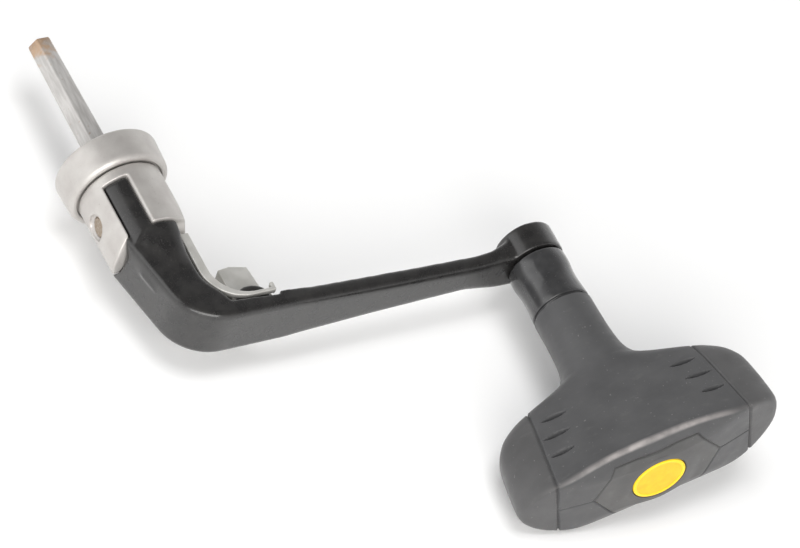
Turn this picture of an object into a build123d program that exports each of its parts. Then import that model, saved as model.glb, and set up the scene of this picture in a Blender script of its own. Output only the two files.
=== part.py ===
from build123d import *
import os
from math import copysign, cos, pi, radians, sin

os.makedirs("parts", exist_ok=True)

# Folding crank handle of a spinning reel, in millimetres.
# +Y runs along the drive shaft into the reel, +X runs along the crank arm to the knob, and
# the origin is on the shaft's axis where the collar's rim seats on the reel.

# ---------------------------------------------------------------- driving dimensions
crank_radius = 71.4  # drive axis to knob axis

# Drive shaft
shaft_length = 30.3
shaft_flats_base = 5.15  # across flats where it leaves the collar
shaft_flats_tip = 4.4
shaft_tip_chamfer = 0.5
shank_radius = 3.1  # round end pressed into the clevis
shank_depth = 7.2
cap_thread_radius = 1.25  # M2.5, takes the screw cap on the reel's far side
cap_thread_depth = 9.0

# Collar and seal
collar_rim_radius = 10.35
collar_near_radius = 10.1
collar_face_radius = 9.0
collar_height = 6.8
collar_rim_chamfer = 0.45
collar_face_chamfer = 1.0
seal_outer_radius = 8.5
seal_depth = 1.6
spigot_radius = 6.0
spigot_inset = 0.6  # the clevis's spigot stops this far inside the collar's rim
seal_lip = 0.3

# Hinge clevis and its fold pivot
clevis_radius = 8.4
pivot_y = -13.7
ear_reach = 6.85  # pivot to the flat upper ends of the ears
ear_round_radius = 9.0  # below that the ears' ends are round about the pivot
underside_reach = 6.5  # pivot to where the round under the clevis stops, short of the collar
slot_left = -5.95
slot_right = -1.5
slot_floor_y = -9.0
slot_edge_chamfer = 0.35
fold_pin_radius = 2.0
fold_pin_recess_radius = 2.5
fold_pin_left = -7.6
fold_pin_right = 6.4
right_ear_draw_in = 2.5  # the right ear narrows towards its end, flush with the release lever
right_ear_draw_in_y = pivot_y + 2.5
fold_pin_chamfer = 0.3
washer_thickness = 0.2
washer_radius = 3.4
running_clearance = 0.05

# Crank arm
tongue_left = slot_left + 0.25
tongue_right = slot_right - 0.25
tongue_radius = 4.5
tongue_nose_gap = 0.2
shoulder_reach = ear_reach + 0.1
shoulder_round_radius = ear_round_radius + 0.1
first_leg_left = -7.0
first_leg_right = 3.6
# Heights of the arm's upper and lower faces from the mid-plane, by distance along X
leg_top = ((3.6, 5.5), (19.0, 5.0), (38.0, 3.9), (59.0, 3.1), (64.0, 3.7))
leg_bottom = ((3.6, -6.0), (19.0, -6.0), (38.0, -4.75), (57.0, -4.0), (64.0, -5.4))
leg_top_z = leg_top[0][1]
leg_bottom_z = leg_bottom[0][1]
hump_radius = 7.9  # the arm's upper side follows the ears where it leaves them
hump_run = 11.0
hump_inset = 1.2  # the hump starts this far inside the leg's outer side
leg_outer_y = -43.0
leg_inner_y = -39.4
leg_inner_far_y = -40.0
leg_outer_lean = 4.7  # how far the first leg's outer side leans inwards at the bend
outer_bend_radius = 10.0
inner_bend_radius = 8.0
boss_radius = 6.0
boss_back_y = -37.3
boss_face_y = -43.0
arm_edge_radius = 1.2

# Release lever
lever_sheet = 1.8
lever_gap = 0.4
lever_half_width = 3.9
lever_nose_half_width = 2.6
lever_nose_y = pivot_y - ear_round_radius - 0.5
cheek_start_y = pivot_y - 8.9
lever_nose_length = 2.2
lever_tail_x = 16.5
lever_tail_lift = 0.9  # room for the tail to travel towards the arm
lever_pivot_x = 5.4
lever_pivot_y = -38.7
lever_pin_radius = 0.9
lever_lug_radius = 1.9
lever_lug_half_width = 1.5
lever_lug_reach = 0.9  # the lug's root, towards the bend
lever_lug_root_width = 3.2
lever_pin_chamfer = 0.2
lug_notch_reach = 2.5
lug_notch_length = 7.0
lever_pin_top = 4.0  # the pin is pressed in from below and stays under the arm's upper face

tab_left = 8.8
tab_top_y = -30.2
tab_face_z = 2.6
tab_corner = 2.4  # the tab's top steps down at both ends
tab_right_top = lever_tail_x - 1.9
tab_right_foot = lever_tail_x - 1.3
cheek_thickness = 1.75  # along the first leg; it thins to the tail
cheek_tail_thickness = 0.75
cheek_gap = 0.25
cheek_hook = 1.9  # the cheek's end turns up round the rib's end
cheek_start_z = 3.9
cheek_end_z = 5.2

# Rib on the arm between the lever's tab and its near cheek
rib_left = 8.9
rib_right = 15.5
rib_peak_x = 13.0
rib_top_y = -35.9
rib_start = (rib_left, leg_inner_y + 1.4)
rib_stop = (rib_right, leg_inner_y + 1.6)
rib_start_z = 2.85
rib_end_z = 3.7

# Lever spring
spring_x = 12.4
spring_wire = 0.22
spring_radius = 0.95
spring_turns = 4
spring_headroom = 0.45
spring_pocket_radius = 1.4
spring_pocket_depth = 2.2

# Knob axle and its bushes
axle_radius = 2.5
axle_root_radius = 3.0
axle_end = 83.9  # distances along the knob axis are measured from the drive axis's plane
axle_head_radius = 4.3
axle_head_dome = 1.6
screw_hole_radius = 1.25
screw_hole_depth = 7.0
screw_shank_length = 6.5
screw_head_height = 1.9
screw_head_chamfer = 0.7
screw_slot_width = 0.8
screw_slot_depth = 1.0
screw_slot_length = 3.6
washer_outer_radius = 3.6
washer_inner_radius = 1.3
screw_washer_thickness = 0.6
knob_start = 43.5
bush_outer_radius = 4.0
bush_length = 4.0
screw_head_radius = 3.1

# Knob
ferrule_radius = 5.9
ferrule_end = 55.0
core_neck_radius = 4.7
neck_radius = 5.95
bar_turn = 17.7  # the T bar's rest angle about the knob axis, +X end raised
bar_half_length = 26.9
bar_half_thickness = 10.4
bar_roundness = 2.9  # exponent of the bar's superelliptic plan
bar_shoulder = 70.6
shoulder_half_thickness = 5.2
ridge = 92.8  # distance out of the thickest place
ridge_radius = 1.8
bar_end_edge = 92.0
bar_end_crown = 95.2
cap_seam_start = 17.0  # along the bar, at the shoulder side
cap_seam_lean = 0.154  # how far the seam leans outwards for each mm towards the end face
badge_radius = 5.4
panel_thickness = 1.6
panel_half_length = 13.0
panel_half_width = 8.0
panel_corner = 8.5  # half-length of the panel's long sides
badge_depth = 1.0
slit_depth = 1.3
slit_width = 1.1
# Centre along the bar, distance out and length of each grip slit
slits = ((13.3, 78.2, 5.0), (14.6, 82.2, 5.2), (15.4, 86.4, 4.6))

# ---------------------------------------------------------------- frames
knob_section = Plane((crank_radius, 0, 0))  # radius along X, distance along Y
knob_axis = Axis((crank_radius, 0, 0), (0, 1, 0))
bar_direction = Vector(cos(radians(bar_turn)), 0, sin(radians(bar_turn)))
bar_normal = Vector(-sin(radians(bar_turn)), 0, cos(radians(bar_turn)))
# Local x along the T bar, local y out along the knob axis
knob_front = Plane((crank_radius, 0, 0), x_dir=bar_direction, z_dir=bar_normal * -1)
# Local x along the T bar, local y across its thickness, local z out along the knob axis
knob_plan = Plane((crank_radius, 0, 0), x_dir=bar_direction, z_dir=(0, -1, 0))
# Local x out along the knob axis, local y across the bar's thickness
bar_end = Plane((crank_radius, 0, 0), x_dir=(0, -1, 0), z_dir=bar_direction * -1)


def tube_about_knob(outer, inner, start, end):
    """Plain tube on the knob axis between two distances from the drive axis's plane."""
    with BuildPart() as tube:
        with BuildSketch(knob_plan.offset(start)):
            Circle(outer)
            Circle(inner, mode=Mode.SUBTRACT)
        extrude(amount=end - start)
    return tube


# ---------------------------------------------------------------- drive shaft
with BuildPart() as drive_shaft:
    with BuildSketch(Plane.XZ):
        RegularPolygon(shaft_flats_base / 2, 6, major_radius=False)
    with BuildSketch(Plane.XZ.offset(-shaft_length)):
        RegularPolygon(shaft_flats_tip / 2, 6, major_radius=False)
    loft()
    chamfer(drive_shaft.faces().sort_by(Axis.Y)[-1].edges(), shaft_tip_chamfer)
    with BuildSketch(Plane.XZ):
        Circle(shank_radius)
    extrude(amount=shank_depth)
    with BuildSketch(Plane.XZ.offset(-shaft_length)):
        Circle(cap_thread_radius)
    extrude(amount=cap_thread_depth, mode=Mode.SUBTRACT)
drive_shaft.part.label = "drive_shaft"
export_step(drive_shaft.part, "parts/drive_shaft.step")

# ---------------------------------------------------------------- collar
with BuildPart() as collar:
    with BuildSketch(Plane.XY):
        with BuildLine():
            Polyline(
                (spigot_radius, -seal_depth),
                (seal_outer_radius, -seal_depth),
                (seal_outer_radius, 0),
                (collar_rim_radius - collar_rim_chamfer, 0),
                (collar_rim_radius, -collar_rim_chamfer),
                (collar_near_radius, collar_face_chamfer - collar_height),
                (collar_face_radius, -collar_height),
                (spigot_radius, -collar_height),
                close=True,
            )
        make_face()
    revolve(axis=Axis.Y)
collar.part.label = "collar"
export_step(collar.part, "parts/collar.step")

# ---------------------------------------------------------------- collar seal
with BuildPart() as collar_seal:
    with BuildSketch(Plane.XZ.offset(seal_lip)):
        Circle(seal_outer_radius)
        Circle(spigot_radius, mode=Mode.SUBTRACT)
    extrude(amount=seal_depth - seal_lip)
    chamfer(collar_seal.faces().sort_by(Axis.Y)[-1].edges(), seal_lip)
collar_seal.part.label = "collar_seal"
export_step(collar_seal.part, "parts/collar_seal.step")

# ---------------------------------------------------------------- hinge clevis
ear_end_y = pivot_y - ear_reach
ear_tip_y = pivot_y - ear_round_radius
with BuildPart() as ear_side:
    # The clevis's outline from the side: flat upper ends, the rest round about the pivot
    with BuildSketch(Plane.YZ):
        with Locations((pivot_y, 0)):
            Circle(ear_round_radius)
        with BuildLine():
            Polyline(
                (0, -clevis_radius),
                (0, clevis_radius),
                (ear_end_y, clevis_radius),
                (ear_end_y, 0),
                (pivot_y, 0),
                (pivot_y, -clevis_radius),
                close=True,
            )
        make_face()
    extrude(amount=clevis_radius, both=True)
with BuildPart() as hinge_clevis:
    with BuildSketch(Plane.XY):
        with BuildLine():
            Polyline(
                (0, -spigot_inset),
                (spigot_radius, -spigot_inset),
                (spigot_radius, -collar_height),
                (clevis_radius, -collar_height),
                (clevis_radius, ear_tip_y),
                (0, ear_tip_y),
                close=True,
            )
        make_face()
    revolve(axis=Axis.Y)
    add(ear_side.part, mode=Mode.INTERSECT)
    # The folded arm passes under the collar
    with BuildSketch(Plane.YZ):
        with Locations((pivot_y, 0)):
            Rectangle(2 * underside_reach, 4 * clevis_radius)
            Circle(ear_round_radius, mode=Mode.SUBTRACT)
            Rectangle(
                4 * clevis_radius,
                4 * clevis_radius,
                align=(Align.CENTER, Align.MIN),
                mode=Mode.SUBTRACT,
            )
    extrude(amount=clevis_radius + 1, both=True, mode=Mode.SUBTRACT)
    # Slot for the arm's tongue
    with BuildSketch(Plane.XY):
        with BuildLine():
            Polyline(
                (slot_left, slot_floor_y),
                (slot_right, slot_floor_y),
                (slot_right, ear_tip_y - 1),
                (slot_left, ear_tip_y - 1),
                close=True,
            )
        make_face()
    extrude(amount=clevis_radius + 1, both=True, mode=Mode.SUBTRACT)
    slot_mouth = hinge_clevis.edges().filter_by(Axis.Y).filter_by_position(
        Axis.Z, clevis_radius * 0.6, clevis_radius
    )
    chamfer(slot_mouth, slot_edge_chamfer)
    # The right ear draws in towards its end, flush with the release lever
    with BuildSketch(Plane.XY):
        with BuildLine():
            Polyline(
                (clevis_radius, right_ear_draw_in_y),
                (clevis_radius - right_ear_draw_in, ear_end_y),
                (clevis_radius - right_ear_draw_in, ear_tip_y),
                (clevis_radius + 1, ear_tip_y),
                (clevis_radius + 1, right_ear_draw_in_y),
                close=True,
            )
        make_face()
    extrude(amount=clevis_radius, both=True, mode=Mode.SUBTRACT)
    # Bore for the drive shaft's shank
    with BuildSketch(Plane.XZ):
        Circle(shank_radius)
    extrude(amount=shank_depth, mode=Mode.SUBTRACT)
    # Cross bore for the fold pin, with a recess where the pin's end shows
    with BuildSketch(Plane.YZ.offset(-clevis_radius - 1)):
        with Locations((pivot_y, 0)):
            Circle(fold_pin_radius)
    extrude(amount=clevis_radius + 1 + fold_pin_right, mode=Mode.SUBTRACT)
    with BuildSketch(Plane.YZ.offset(-clevis_radius - 1)):
        with Locations((pivot_y, 0)):
            Circle(fold_pin_recess_radius)
    extrude(amount=clevis_radius + 1 + fold_pin_left, mode=Mode.SUBTRACT)
hinge_clevis.part.label = "hinge_clevis"
export_step(hinge_clevis.part, "parts/hinge_clevis.step")

# ---------------------------------------------------------------- fold pin
with BuildPart() as fold_pin:
    with BuildSketch(Plane.YZ.offset(fold_pin_left)):
        with Locations((pivot_y, 0)):
            Circle(fold_pin_radius)
    extrude(amount=fold_pin_right - fold_pin_left)
    chamfer(fold_pin.edges().filter_by(GeomType.CIRCLE), fold_pin_chamfer)
fold_pin.part.label = "fold_pin"
export_step(fold_pin.part, "parts/fold_pin.step")

# ---------------------------------------------------------------- pivot washers
with BuildPart() as pivot_washers:
    for washer_x in (slot_left, slot_right - washer_thickness):
        with BuildSketch(Plane.YZ.offset(washer_x)):
            with Locations((pivot_y, 0)):
                Circle(washer_radius)
                Circle(fold_pin_radius + running_clearance, mode=Mode.SUBTRACT)
        extrude(amount=washer_thickness)
pivot_washers.part.label = "pivot_washers"
export_step(pivot_washers.part, "parts/pivot_washers.step")

# ---------------------------------------------------------------- crank arm
def on_outer_side(point):
    """True on the outside of the bend, left of the line that halves the first leg."""
    return point.X < (first_leg_left + first_leg_right) / 2 and point.Y < shoulder_y - 1


shoulder_y = pivot_y - shoulder_reach
hump_base_z = 2.0
leg_half_span = 8.0  # more than the arm's height either way
with BuildPart() as arm_hump:
    with BuildSketch(Plane.XZ.offset(-shoulder_y)):
        Circle(hump_radius)
    with BuildSketch(Plane.XZ.offset(hump_run - shoulder_y)):
        Circle(leg_top_z - 0.1)
    loft()
    with BuildSketch(Plane.XZ.offset(-shoulder_y)):
        with Locations(((first_leg_left + hump_inset + first_leg_right) / 2, hump_base_z)):
            Rectangle(
                first_leg_right - first_leg_left - hump_inset,
                hump_radius,
                align=(Align.CENTER, Align.MIN),
            )
    extrude(amount=hump_run, mode=Mode.INTERSECT)
# Tongue that fills the clevis's slot, its upper side round like the ears
tongue_nose_y = slot_floor_y - tongue_nose_gap
tongue_root_y = pivot_y - shoulder_round_radius - 1
tongue_root_z = 5.0  # inside the hump, so the tongue runs into it without a step
with BuildPart() as arm_tongue:
    with BuildSketch(Plane.YZ.offset(tongue_left)):
        with Locations((pivot_y, 0)):
            Circle(tongue_radius)
        with BuildLine():
            Polyline(
                (pivot_y, -tongue_radius),
                (tongue_root_y, -tongue_radius),
                (tongue_root_y, tongue_root_z),
                (shoulder_y, hump_radius),
                (tongue_nose_y, hump_radius),
                (tongue_nose_y, 0),
                (pivot_y, 0),
                close=True,
            )
        make_face()
    extrude(amount=tongue_right - tongue_left)
    with BuildSketch(Plane.XZ.offset(-tongue_nose_y)):
        Circle(hump_radius)
    extrude(amount=tongue_nose_y - tongue_root_y, mode=Mode.INTERSECT)
boss_left = crank_radius - boss_radius
with BuildPart() as crank_arm:
    # Plan of the L: the leg from the clevis, the bend and the long leg out to the boss
    with BuildSketch(Plane.XY):
        with BuildLine():
            outer = FilletPolyline(
                (first_leg_left, shoulder_y),
                (first_leg_left + leg_outer_lean, leg_outer_y),
                (crank_radius, leg_outer_y),
                radius=outer_bend_radius,
            )
            inner = FilletPolyline(
                (first_leg_right, shoulder_y),
                (first_leg_right, leg_inner_y),
                (boss_left - 3, leg_inner_far_y),
                (crank_radius - 2, boss_back_y - 0.4),
                radius=inner_bend_radius,
            )
            Line(outer @ 0, inner @ 0)
            Polyline(outer @ 1, (crank_radius, boss_back_y - 0.4), inner @ 1)
        make_face()
    extrude(amount=leg_half_span, both=True)
    # Seen along Y the long leg narrows, then flares again into the boss
    with BuildSketch(Plane.XZ.offset(-leg_outer_y)):
        with BuildLine():
            Polyline(
                (first_leg_left - 1, leg_bottom_z),
                *leg_bottom,
                (crank_radius, leg_bottom[-1][1]),
                (crank_radius, leg_top[-1][1]),
                *reversed(leg_top),
                (first_leg_left - 1, leg_top_z),
                close=True,
            )
        make_face()
    extrude(amount=shoulder_y - leg_outer_y + 30, both=True, mode=Mode.INTERSECT)
    rims = crank_arm.edges().filter_by(lambda edge: abs((edge @ 0.5).Z) > 2 and abs((edge % 0.5).Z) < 0.3)
    outer_rims = rims.filter_by(
        lambda edge: (edge @ 0.5).Y < leg_outer_y + 0.1 or on_outer_side(edge @ 0.5)
    )
    fillet(outer_rims, arm_edge_radius)
    with BuildSketch(Plane.XZ.offset(-boss_back_y)):
        with Locations((crank_radius, 0)):
            Circle(boss_radius)
    extrude(amount=boss_back_y - boss_face_y)
    add(arm_hump.part)
    # The shoulder is hollowed about the pivot, just clear of the ears' round ends
    with BuildSketch(Plane.YZ.offset(first_leg_left - 1)):
        with Locations((pivot_y, 0)):
            Circle(shoulder_round_radius)
    extrude(amount=first_leg_right - first_leg_left + 2, mode=Mode.SUBTRACT)
    add(arm_tongue.part)
    # Bores for the pivot bush, the lever pin and the knob's axle
    with BuildSketch(Plane.YZ.offset(tongue_left)):
        with Locations((pivot_y, 0)):
            Circle(axle_root_radius)
    extrude(amount=tongue_right - tongue_left, mode=Mode.SUBTRACT)
    with BuildSketch(Plane.XY):
        with Locations((lever_pivot_x, lever_pivot_y)):
            Circle(lever_pin_radius)
    extrude(amount=lever_pin_top, mode=Mode.SUBTRACT)
    with BuildSketch(Plane.XY):
        with Locations((lever_pivot_x, lever_pivot_y)):
            Circle(lever_pin_radius)
    extrude(amount=-leg_half_span, mode=Mode.SUBTRACT)
    with BuildSketch(Plane.XZ.offset(-boss_back_y)):
        with Locations((crank_radius, 0)):
            Circle(axle_root_radius)
    extrude(amount=boss_back_y - boss_face_y, mode=Mode.SUBTRACT)
    # Rebate that the lever's near cheek sinks into, and the rib beside it
    with BuildSketch(Plane.XY.offset(rib_end_z)):
        with BuildLine():
            Polyline(
                (first_leg_right + 1.2, leg_inner_y + 4),
                (first_leg_right + 3.2, leg_inner_y - 0.05),
                (lever_tail_x + 0.4, leg_inner_y - lever_tail_lift + 0.15),
                (lever_tail_x + 0.4, leg_inner_y + 4),
                close=True,
            )
        make_face()
    extrude(amount=leg_half_span, mode=Mode.SUBTRACT)
    with BuildSketch(Plane.XY.offset(rib_start_z)):
        with BuildLine():
            Polyline((rib_left, leg_inner_y - 0.5), rib_start)
            ThreePointArc(rib_start, (rib_peak_x, rib_top_y), rib_stop)
            Polyline(rib_stop, (rib_right, leg_inner_y - 0.5), (rib_left, leg_inner_y - 0.5))
        make_face()
    extrude(amount=rib_end_z - rib_start_z)
    # Notch for the lever's lug and pocket for its spring
    with BuildSketch(Plane.XY):
        with Locations((lever_pivot_x, lever_pivot_y)):
            Circle(lever_lug_radius + lever_gap)
        with Locations((lever_pivot_x + lug_notch_reach, lever_pivot_y + lug_notch_reach)):
            Rectangle(2 * (lever_lug_radius + lever_gap), lug_notch_length, rotation=-45)
    extrude(amount=lever_lug_half_width + 0.3, both=True, mode=Mode.SUBTRACT)
    with BuildSketch(Plane.XZ.offset(-leg_inner_y)):
        with Locations((spring_x, 0)):
            Circle(spring_pocket_radius)
    extrude(amount=spring_pocket_depth, mode=Mode.SUBTRACT)
crank_arm.part.label = "crank_arm"
export_step(crank_arm.part, "parts/crank_arm.step")

# ---------------------------------------------------------------- pivot bush
with BuildPart() as pivot_bush:
    with BuildSketch(Plane.YZ.offset(tongue_left)):
        with Locations((pivot_y, 0)):
            Circle(axle_root_radius)
            Circle(fold_pin_radius + running_clearance, mode=Mode.SUBTRACT)
    extrude(amount=tongue_right - tongue_left)
pivot_bush.part.label = "pivot_bush"
export_step(pivot_bush.part, "parts/pivot_bush.step")

# ---------------------------------------------------------------- release lever
strip_x = first_leg_right + lever_gap + lever_sheet / 2
strip_tail_y = leg_inner_y + lever_tail_lift + lever_sheet / 2
cheek_x = first_leg_right + cheek_gap
cheek_y = leg_inner_y + cheek_gap
cheek_back_y = cheek_y + cheek_tail_thickness
with BuildPart() as release_lever:
    with BuildSketch(Plane.XY):
        with BuildLine():
            FilletPolyline(
                (strip_x, lever_nose_y),
                (strip_x, leg_inner_y + lever_gap + lever_sheet / 2),
                (lever_tail_x, strip_tail_y),
                radius=inner_bend_radius - lever_gap - lever_sheet / 2,
            )
        trace(line_width=lever_sheet)
    extrude(amount=lever_half_width, both=True)
    # The nose is narrower than the strip
    with BuildSketch(Plane.YZ):
        for side in (-1, 1):
            with Locations((lever_nose_y, side * (lever_nose_half_width + 5))):
                Rectangle(2 * lever_nose_length, 10)
    extrude(amount=10, mode=Mode.SUBTRACT)
    # Finger tab, behind the arm's rib
    with BuildSketch(Plane.XY.offset(-lever_half_width)):
        with BuildLine():
            Polyline(
                (tab_left, strip_tail_y),
                (tab_left, tab_top_y - 0.3),
                (tab_left + tab_corner, tab_top_y),
                (tab_right_top, tab_top_y - 0.9),
                (tab_right_foot, strip_tail_y),
                close=True,
            )
        make_face()
    extrude(amount=lever_half_width + tab_face_z)
    # The strip's tail stays behind the rib
    with BuildSketch(Plane.XY.offset(tab_face_z)):
        with Locations((lever_tail_x, leg_inner_y)):
            Rectangle(2 * (lever_tail_x - rib_left + 0.6), 30)
    extrude(amount=10, mode=Mode.SUBTRACT)
    # Near cheek, which thins as it runs in front of the rib and hooks round its end
    with BuildSketch(Plane.XY.offset(cheek_start_z)):
        with BuildLine():
            cheek_front = FilletPolyline(
                (cheek_x, cheek_start_y),
                (cheek_x, cheek_y),
                (lever_tail_x, cheek_y),
                radius=inner_bend_radius - cheek_gap,
            )
            cheek_back = FilletPolyline(
                (cheek_x + cheek_thickness, cheek_start_y),
                (cheek_x + cheek_thickness, cheek_back_y),
                (lever_tail_x - cheek_tail_thickness, cheek_back_y),
                radius=inner_bend_radius - cheek_gap - cheek_thickness / 2,
            )
            Line(cheek_front @ 0, cheek_back @ 0)
            Polyline(
                cheek_front @ 1,
                (lever_tail_x, cheek_y + cheek_hook),
                (lever_tail_x - cheek_tail_thickness, cheek_y + cheek_hook),
                cheek_back @ 1,
            )
        make_face()
    extrude(amount=cheek_end_z - cheek_start_z)
    # Lug on the pin
    with BuildSketch(Plane.XY):
        with Locations((lever_pivot_x, lever_pivot_y)):
            Circle(lever_lug_radius)
        with Locations((lever_pivot_x + lever_lug_reach, lever_pivot_y + lever_lug_reach)):
            Rectangle(2 * lever_lug_radius, lever_lug_root_width, rotation=-45)
    extrude(amount=lever_lug_half_width, both=True)
    with BuildSketch(Plane.XY):
        with Locations((lever_pivot_x, lever_pivot_y)):
            Circle(lever_pin_radius + running_clearance)
    extrude(amount=lever_half_width + 1, both=True, mode=Mode.SUBTRACT)
release_lever.part.label = "release_lever"
export_step(release_lever.part, "parts/release_lever.step")

# ---------------------------------------------------------------- lever pin
with BuildPart() as lever_pin:
    with BuildSketch(Plane.XY):
        with Locations((lever_pivot_x, lever_pivot_y)):
            Circle(lever_pin_radius)
    extrude(amount=lever_pin_top)
    with BuildSketch(Plane.XY):
        with Locations((lever_pivot_x, lever_pivot_y)):
            Circle(lever_pin_radius)
    extrude(amount=leg_bottom_z)
    pin_rims = lever_pin.edges().filter_by(GeomType.CIRCLE).filter_by(lambda edge: abs((edge @ 0).Z) > 1)
    chamfer(pin_rims, lever_pin_chamfer)
lever_pin.part.label = "lever_pin"
export_step(lever_pin.part, "parts/lever_pin.step")

# ---------------------------------------------------------------- lever spring
spring_foot_y = leg_inner_y - spring_pocket_depth + spring_wire
spring_top_y = leg_inner_y + lever_tail_lift - spring_wire - spring_headroom
spring_height = spring_top_y - spring_foot_y
with BuildPart() as lever_spring:
    with BuildLine():
        coil = Helix(
            pitch=spring_height / spring_turns,
            height=spring_height,
            radius=spring_radius,
            center=(spring_x, spring_foot_y, 0),
            direction=(0, 1, 0),
        )
    with BuildSketch(Plane(coil @ 0, z_dir=coil % 0)):
        Circle(spring_wire)
    sweep(is_frenet=True)
lever_spring.part.label = "lever_spring"
export_step(lever_spring.part, "parts/lever_spring.step")

# ---------------------------------------------------------------- knob axle
with BuildPart() as knob_axle:
    with BuildSketch(knob_section):
        with BuildLine():
            Polyline(
                (0, boss_back_y + axle_head_dome),
                (axle_head_radius - 1.2, boss_back_y + axle_head_dome - 0.3),
                (axle_head_radius, boss_back_y),
                (axle_root_radius, boss_back_y),
                (axle_root_radius, boss_face_y),
                (axle_root_radius, -knob_start - 0.2),
                (axle_radius, -knob_start - 0.2),
                (axle_radius, -axle_end),
                (screw_hole_radius, -axle_end),
                (screw_hole_radius, -axle_end + screw_hole_depth),
                (0, -axle_end + screw_hole_depth),
                close=True,
            )
        make_face()
    revolve(axis=knob_axis)
knob_axle.part.label = "knob_axle"
export_step(knob_axle.part, "parts/knob_axle.step")

# ---------------------------------------------------------------- retaining screw and washer
washer_end = axle_end + screw_washer_thickness
screw_washer = tube_about_knob(washer_outer_radius, washer_inner_radius, axle_end, washer_end)
screw_washer.part.label = "screw_washer"
export_step(screw_washer.part, "parts/screw_washer.step")

with BuildPart() as knob_screw:
    with BuildSketch(knob_section):
        with BuildLine():
            Polyline(
                (0, -axle_end + screw_shank_length),
                (screw_hole_radius, -axle_end + screw_shank_length),
                (screw_hole_radius, -washer_end),
                (screw_head_radius, -washer_end),
                (screw_head_radius, -washer_end - screw_head_height + screw_head_chamfer),
                (screw_head_radius - screw_head_chamfer, -washer_end - screw_head_height),
                (0, -washer_end - screw_head_height),
                close=True,
            )
        make_face()
    revolve(axis=knob_axis)
    with BuildSketch(knob_plan.offset(washer_end + screw_head_height)):
        Rectangle(screw_slot_length, screw_slot_width)
        Rectangle(screw_slot_width, screw_slot_length)
    extrude(amount=-screw_slot_depth, mode=Mode.SUBTRACT)
knob_screw.part.label = "knob_screw"
export_step(knob_screw.part, "parts/knob_screw.step")

# ---------------------------------------------------------------- knob bushes
inner_bush_start = knob_start + 0.3
outer_bush_end = axle_end - 0.1
bush_bore = axle_radius + running_clearance
bush_inboard = tube_about_knob(
    bush_outer_radius, bush_bore, inner_bush_start, inner_bush_start + bush_length
)
bush_inboard.part.label = "bush_inboard"
export_step(bush_inboard.part, "parts/bush_inboard.step")

bush_outboard = tube_about_knob(bush_outer_radius, bush_bore, outer_bush_end - bush_length, outer_bush_end)
bush_outboard.part.label = "bush_outboard"
export_step(bush_outboard.part, "parts/bush_outboard.step")

# ---------------------------------------------------------------- knob ferrule
with BuildPart() as knob_ferrule:
    with BuildSketch(knob_section):
        with BuildLine():
            barrel = ThreePointArc(
                (ferrule_radius, -knob_start - 1.6),
                (ferrule_radius - 0.45, -(knob_start + ferrule_end) / 2),
                (ferrule_radius, -ferrule_end + 1.2),
            )
            Polyline(
                barrel @ 1,
                (ferrule_radius - 0.3, -ferrule_end),
                (core_neck_radius, -ferrule_end),
                (core_neck_radius, -knob_start),
                (ferrule_radius - 0.5, -knob_start),
                (ferrule_radius, -knob_start - 0.5),
                barrel @ 0,
            )
        make_face()
    revolve(axis=knob_axis)
knob_ferrule.part.label = "knob_ferrule"
export_step(knob_ferrule.part, "parts/knob_ferrule.step")

# ---------------------------------------------------------------- knob core
bar_core_start = 78.0
bar_core_end = 90.0
bar_core_length = 34.0
bar_core_thickness = 10.0
screw_well_radius = 4.4
with BuildPart() as core_blank:
    with BuildSketch(knob_plan.offset(inner_bush_start)):
        Circle(core_neck_radius)
    extrude(amount=bar_core_start - inner_bush_start)
    with BuildSketch(knob_plan.offset(bar_core_start)):
        RectangleRounded(bar_core_length, bar_core_thickness, 3)
    extrude(amount=bar_core_end - bar_core_start)

with BuildPart() as knob_core:
    add(core_blank.part)
    with BuildSketch(knob_plan.offset(inner_bush_start)):
        Circle(axle_radius + 0.4)
    extrude(amount=bar_core_end - inner_bush_start, mode=Mode.SUBTRACT)
    with BuildSketch(knob_plan.offset(inner_bush_start)):
        Circle(bush_outer_radius)
    extrude(amount=bush_length, mode=Mode.SUBTRACT)
    with BuildSketch(knob_plan.offset(outer_bush_end - bush_length)):
        Circle(bush_outer_radius)
    extrude(amount=bush_length, mode=Mode.SUBTRACT)
    with BuildSketch(knob_plan.offset(outer_bush_end)):
        Circle(screw_well_radius)
    extrude(amount=bar_core_end - outer_bush_end, mode=Mode.SUBTRACT)
knob_core.part.label = "knob_core"
export_step(knob_core.part, "parts/knob_core.step")

# ---------------------------------------------------------------- outer form of the T knob
def broad_face_height(distance):
    """Half-thickness of the wedge-shaped bar at a distance out along the knob's axis."""
    share = (distance - bar_shoulder - 3) / (ridge - bar_shoulder - 3)
    return shoulder_half_thickness + share * (bar_half_thickness - shoulder_half_thickness)


def superellipse(half_length, half_thickness, exponent, count):
    """Points of a superellipse, anticlockwise from the end of its long axis."""
    points = []
    for index in range(count):
        angle = 2 * pi * index / count
        x = copysign(abs(cos(angle)) ** (2 / exponent), cos(angle))
        y = copysign(abs(sin(angle)) ** (2 / exponent), sin(angle))
        points.append((half_length * x, half_thickness * y))
    return points


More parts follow.
